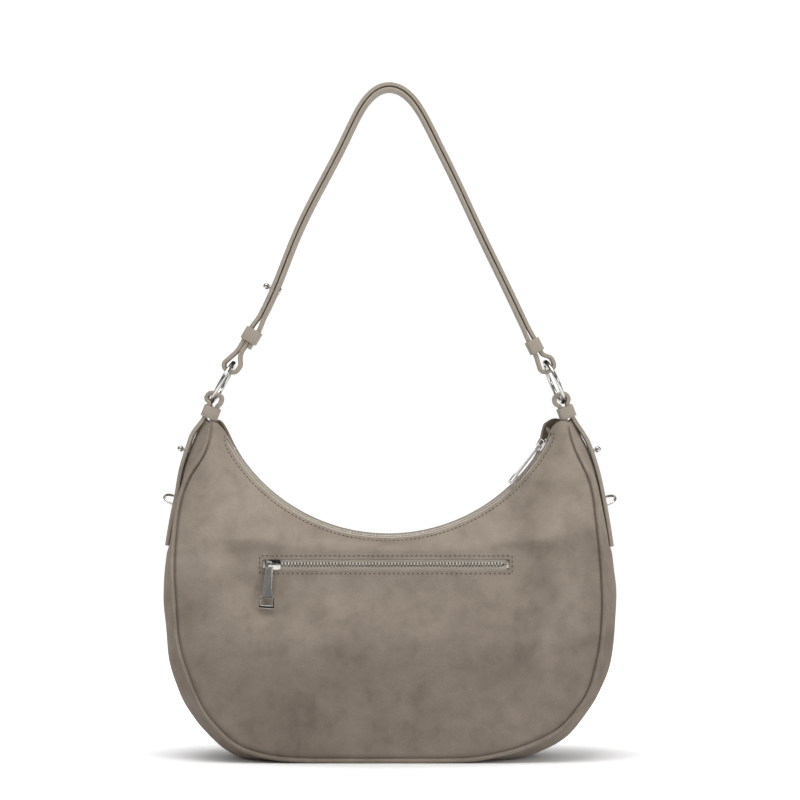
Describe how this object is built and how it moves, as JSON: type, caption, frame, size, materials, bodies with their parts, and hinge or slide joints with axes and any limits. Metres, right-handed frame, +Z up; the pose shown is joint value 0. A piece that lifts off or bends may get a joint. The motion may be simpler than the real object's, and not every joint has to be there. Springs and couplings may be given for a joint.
{
  "type": "crossbody bag",
  "caption": "Crescent suede shoulder bag with a curved top zip, a zip pocket on the front and a doubled leather strap on rings",
  "frame": {"origin": "On the floor, under the middle of the flat base patch, half way between the front and back panels", "axes": "+Z up, +X to the right seen from the front, -Y towards the panel with the zip pocket"},
  "size_m": [0.3596, 0.0891, 0.5369],
  "materials": {
    "suede": "matte brushed suede, mottled",
    "smooth_leather": "smooth finished leather, low sheen",
    "lining": "woven cotton lining",
    "zip_tape": "woven zip tape",
    "nickel": "polished nickel plate"
  },
  "bodies": {
    "bag": {"back_panel": "suede", "front_panel": "suede", "gusset": "suede", "piping_back": "smooth_leather", "piping_front": "smooth_leather", "side_tab_left": "smooth_leather", "side_tab_right": "smooth_leather", "tab_keeper_left": "smooth_leather", "tab_keeper_right": "smooth_leather", "lining": "lining", "pocket_bag": "lining", "main_tape_back": "zip_tape", "main_tape_front": "zip_tape", "pocket_tape_lower": "zip_tape", "pocket_tape_upper": "zip_tape", "half_loop_left": "nickel", "half_loop_right": "nickel", "main_bottom_stop": "nickel", "main_teeth_back": "nickel", "main_teeth_front": "nickel", "main_top_stop_back": "nickel", "main_top_stop_front": "nickel", "pocket_closed_end_stop": "nickel", "pocket_open_end_stop": "nickel", "pocket_teeth_lower": "nickel", "pocket_teeth_upper": "nickel", "tab_stud_left": "nickel", "tab_stud_left_screw": "nickel", "tab_stud_right": "nickel", "tab_stud_right_screw": "nickel"},
    "main_slider": {"main_slider": "nickel", "main_slider_lower_wing": "nickel"},
    "main_pull": {"main_pull": "nickel"},
    "pocket_slider": {"pocket_slider": "nickel", "pocket_slider_lower_wing": "nickel"},
    "pocket_pull": {"pocket_pull": "nickel"},
    "strap": {"strap": "smooth_leather", "strap_keeper_right": "smooth_leather", "strap_stud": "nickel", "strap_stud_screw": "nickel"},
    "left_keeper": {"strap_keeper_left": "smooth_leather"},
    "left_ring": {"ring_left": "nickel"},
    "right_ring": {"ring_right": "nickel"}
  },
  "joints": [
    {"name": "main_zip", "type": "hinge", "parent": "bag", "child": "main_slider", "pos_m": [-0.0026, 0, 0.319], "axis": [0, 1, 0], "range_deg": [0, 112]},
    {"name": "main_pull_lift", "type": "hinge", "parent": "main_slider", "child": "main_pull", "pos_m": [0.11765, -0.00071, 0.24755], "axis": [-0.1504, 0.9848, 0.0868], "range_deg": [0, 115]},
    {"name": "pocket_zip", "type": "slide", "parent": "bag", "child": "pocket_slider", "axis": [1, 0, 0], "range_m": [0, 0.172]},
    {"name": "pocket_pull_swing", "type": "hinge", "parent": "pocket_slider", "child": "pocket_pull", "pos_m": [-0.09585, -0.0233, 0.154], "axis": [0, 1, 0], "range_deg": [-20, 20]},
    {"name": "strap_swing", "type": "hinge", "parent": "bag", "child": "strap", "pos_m": [0, 0, 0.2978], "axis": [1, 0, 0], "range_deg": [-45, 45]},
    {"name": "left_ring_swing", "type": "hinge", "parent": "bag", "child": "left_ring", "pos_m": [0, 0, 0.2978], "axis": [1, 0, 0], "range_deg": [-23, 23]},
    {"name": "right_ring_swing", "type": "hinge", "parent": "bag", "child": "right_ring", "pos_m": [0, 0, 0.2978], "axis": [1, 0, 0], "range_deg": [-23, 23]},
    {"name": "left_keeper_slide", "type": "slide", "parent": "strap", "child": "left_keeper", "axis": [0.506, 0, 0.8625], "range_m": [0, 0.012]}
  ],
  "couplings": [
    {"joint": "left_ring_swing", "follows": "strap_swing", "ratio": 0.5},
    {"joint": "right_ring_swing", "follows": "strap_swing", "ratio": 0.5}
  ]
}
